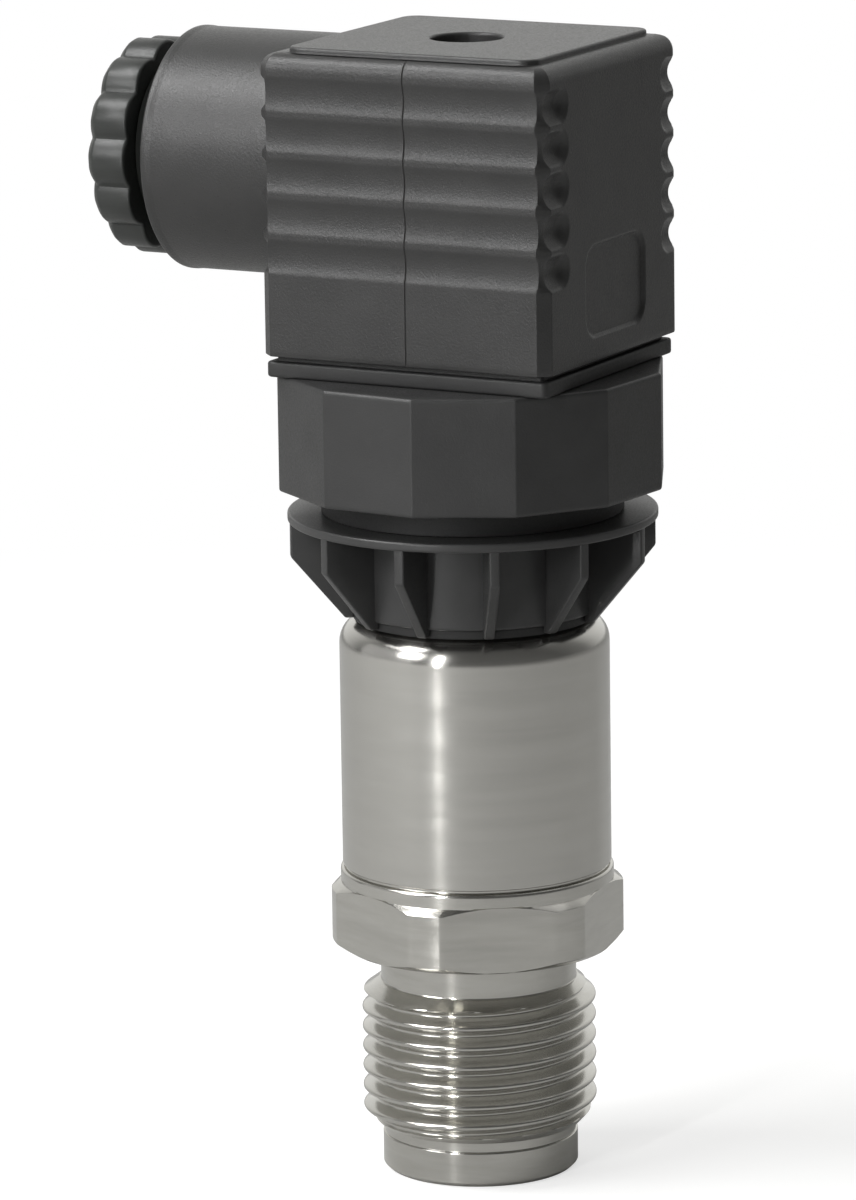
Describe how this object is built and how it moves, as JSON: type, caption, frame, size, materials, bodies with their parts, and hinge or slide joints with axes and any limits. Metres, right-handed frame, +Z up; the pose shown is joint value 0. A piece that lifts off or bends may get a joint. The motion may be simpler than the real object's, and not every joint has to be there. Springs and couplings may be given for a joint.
{
  "type": "pressure transmitter",
  "caption": "Pressure transmitter: threaded process connection with hexagon, steel sleeve, ribbed vent ring, twelve-sided base and right-angle plug with cable gland.",
  "frame": {"origin": "centre of the lower end face, at the mouth of the pressure port", "axes": "+Z up along the device axis, -X out of the cable gland, -Y the plug's front face"},
  "size_m": [0.0505, 0.0342, 0.1018],
  "materials": {
    "stainless_steel": "turned and milled, satin",
    "drawn_stainless_steel": "brushed round the axis, satin",
    "housing_plastic": "fine-grained moulded polyamide",
    "gland_plastic": "smooth moulded polyamide, slightly glossy",
    "ring_plastic": "smooth moulded plastic",
    "base_plastic": "moulded plastic",
    "block_plastic": "moulded plastic",
    "gasket_rubber": "moulded elastomer",
    "seal_rubber": "moulded elastomer",
    "white_ceramic": "ground alumina",
    "board_laminate": "green solder mask",
    "chip_plastic": "moulded epoxy",
    "capacitor_ceramic": "fired ceramic",
    "ribbon_film": "amber film",
    "wire_insulation": "extruded insulation",
    "brass": "machined",
    "tinned_brass": "tinned",
    "zinc_plated_steel": "zinc plated"
  },
  "bodies": {
    "transmitter": {"process_connection": "stainless_steel", "body_sleeve": "drawn_stainless_steel", "cell_seal": "seal_rubber", "ceramic_cell": "white_ceramic", "cell_clamp_ring": "stainless_steel", "circuit_board": "board_laminate", "amplifier_chip": "chip_plastic", "filter_capacitors": "capacitor_ceramic", "cell_ribbon": "ribbon_film", "wire_header": "chip_plastic", "lead_wires": "wire_insulation", "sleeve_seal": "seal_rubber", "vent_ring": "ring_plastic", "neck_seal": "seal_rubber", "connector_base": "base_plastic", "retaining_nut": "brass", "pin_carrier": "base_plastic", "threaded_bush": "brass", "contact_pin_1": "tinned_brass", "contact_pin_2": "tinned_brass", "contact_pin_3": "tinned_brass", "earth_pin": "tinned_brass", "profile_gasket": "gasket_rubber"},
    "plug": {"plug_housing": "housing_plastic", "contact_block": "block_plastic", "terminal_1": "brass", "terminal_2": "brass", "terminal_3": "brass", "earth_terminal": "brass", "terminal_screws": "zinc_plated_steel", "gland_grommet": "seal_rubber"},
    "screw_carriage": {"screw_washer": "zinc_plated_steel"},
    "screw": {"fixing_screw": "zinc_plated_steel"},
    "gland_carriage": {"gland_washer": "ring_plastic"},
    "nut": {"gland_nut": "gland_plastic"}
  },
  "joints": [
    {"name": "plug_lift", "type": "slide", "parent": "transmitter", "child": "plug", "axis": [0, 0, 1], "range_m": [0, 0.012]},
    {"name": "screw_rise", "type": "slide", "parent": "plug", "child": "screw_carriage", "axis": [0, 0, 1], "range_m": [0, 0.006]},
    {"name": "screw_turn", "type": "hinge", "parent": "screw_carriage", "child": "screw", "pos_m": [0, 0, 0.0889], "axis": [0, 0, 1], "range_deg": [0, 4320]},
    {"name": "gland_travel", "type": "slide", "parent": "plug", "child": "gland_carriage", "axis": [-1, 0, 0], "range_m": [-0.0022, 0.003]},
    {"name": "gland_turn", "type": "hinge", "parent": "gland_carriage", "child": "nut", "pos_m": [-0.0293, 0, 0.09065], "axis": [-1, 0, 0], "range_deg": [-528, 720]}
  ],
  "couplings": [
    {"joint": "screw_turn", "follows": "screw_rise", "rad_per_m": 12566},
    {"joint": "gland_travel", "follows": "gland_turn", "m_per_rad": 0.00023873}
  ]
}
